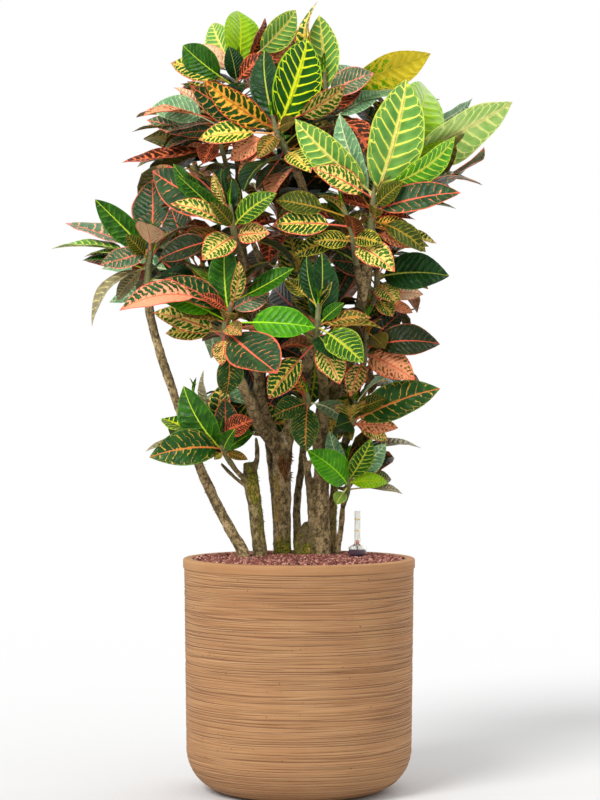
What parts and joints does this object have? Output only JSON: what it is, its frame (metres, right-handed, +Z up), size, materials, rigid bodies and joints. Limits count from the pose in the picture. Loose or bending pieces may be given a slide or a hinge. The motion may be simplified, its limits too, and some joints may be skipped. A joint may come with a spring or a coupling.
{
  "type": "potted croton",
  "caption": "Bushy houseplant with broad variegated leaves on bare woody trunks, standing in a rough round pot filled with clay granules, with a water gauge.",
  "frame": {"origin": "middle of the pot's flat underside, which stands on the floor", "axes": "+Z up along the pot's axis, -Y towards the plant's front, +X to its right as seen from the front"},
  "size_m": [0.7004, 0.5143, 1.2112],
  "materials": {
    "pot_clay": "rough, brushed round",
    "granules": "matt fired clay pellets",
    "clear_plastic": "clear, glossy",
    "dark_plastic": "satin",
    "red_plastic": "glossy",
    "bark": "rough bark",
    "bark_dark": "rough dark bark",
    "bark_mossy": "rough bark with moss",
    "leaf": "glossy leathery leaf, net-veined in yellow and red"
  },
  "bodies": {
    "root": {"pot": "pot_clay", "granules": "granules", "gauge_clear_tube": "clear_plastic", "gauge_shaft": "dark_plastic", "gauge_float": "red_plastic", "trunk_far_left": "bark", "trunk_mossy_left": "bark_mossy", "trunk_main": "bark", "trunk_behind_main": "bark_dark", "trunk_slender_dark": "bark_dark", "trunk_right": "bark", "trunk_mossy_right": "bark_mossy", "trunk_slender_light": "bark", "shoot_far_left": "leaf", "shoot_back_low_left": "leaf", "shoot_low_left": "leaf", "shoot_top": "leaf", "shoot_front_left": "leaf", "shoot_left": "leaf", "shoot_upper_left": "leaf", "shoot_inner": "leaf", "shoot_top_back_left": "leaf", "shoot_back_left": "leaf", "shoot_back_middle": "leaf", "shoot_back_upper_left": "leaf", "shoot_back_low_middle": "leaf", "shoot_right": "leaf", "shoot_front_middle": "leaf", "shoot_centre": "leaf", "shoot_middle_right": "leaf", "shoot_back_right": "leaf", "shoot_top_back_right": "leaf", "shoot_back_upper_right": "leaf", "shoot_low_right": "leaf", "shoot_lowest_right": "leaf", "shoot_back_low_right": "leaf", "shoot_small_right": "leaf"}
  },
  "joints": []
}
